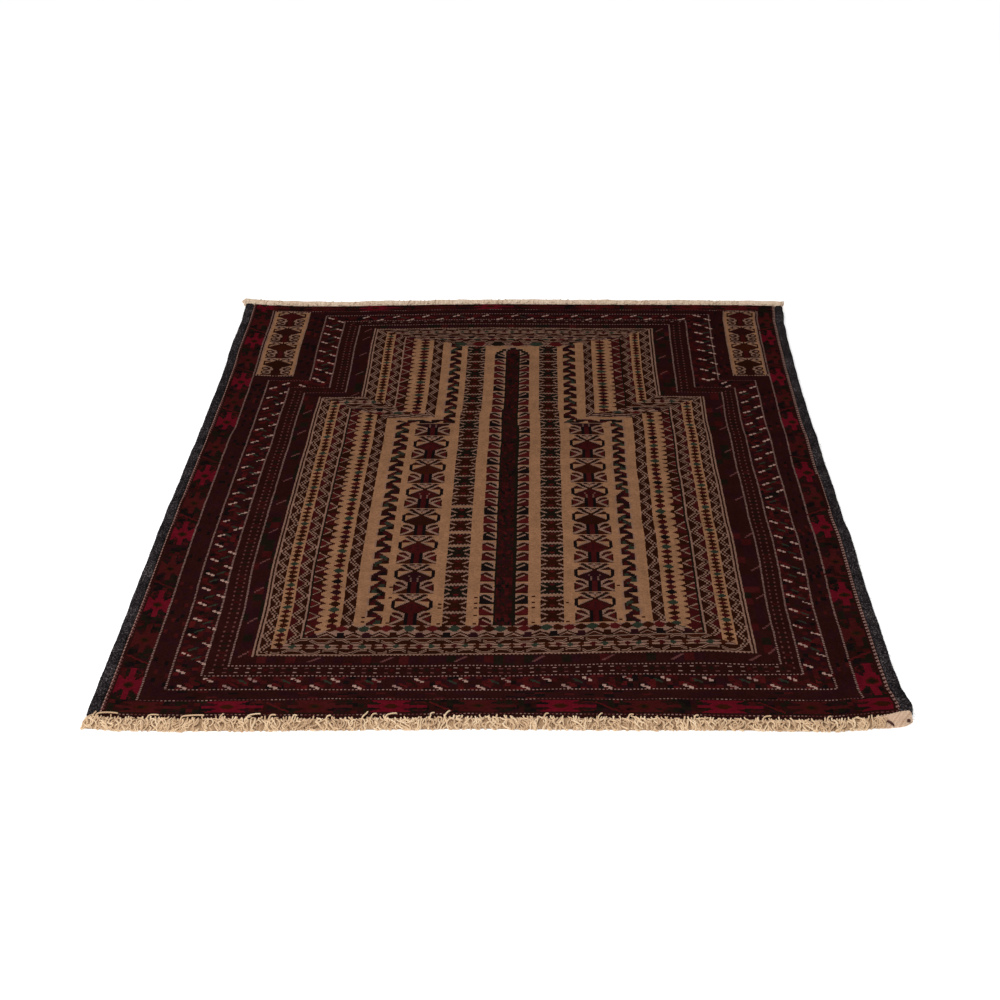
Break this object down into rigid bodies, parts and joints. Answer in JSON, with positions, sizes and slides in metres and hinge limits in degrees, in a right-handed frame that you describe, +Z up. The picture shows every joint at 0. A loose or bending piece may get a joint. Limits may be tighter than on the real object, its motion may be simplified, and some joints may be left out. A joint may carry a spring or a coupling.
{
  "type": "flat baluch prayer rug",
  "caption": "Small knotted wool prayer rug lying flat, with a camel niche field, dark borders, goat-hair side cords and a short curled warp fringe at each end.",
  "frame": {"origin": "middle of the rug's bounding box, on the surface that it lies on", "axes": "+X across the rug to the right, +Y along it from the near fringe to the niche end, +Z up out of the pile"},
  "size_m": [0.8632, 1.5392, 0.0086],
  "materials": {
    "pile": "low clipped wool pile, knotted in camel, dark wine, red, black-blue, green and off-white, matt with a faint wool sheen",
    "selvedge": "black-blue goat hair bound over the side warps, matt and slightly hairy",
    "fringe": "cream twisted warp yarn, curled and matt"
  },
  "bodies": {
    "root": {"rug_body": "pile", "selvedge_left": "selvedge", "selvedge_right": "selvedge", "fringe_near": "fringe", "fringe_far": "fringe"}
  },
  "joints": []
}
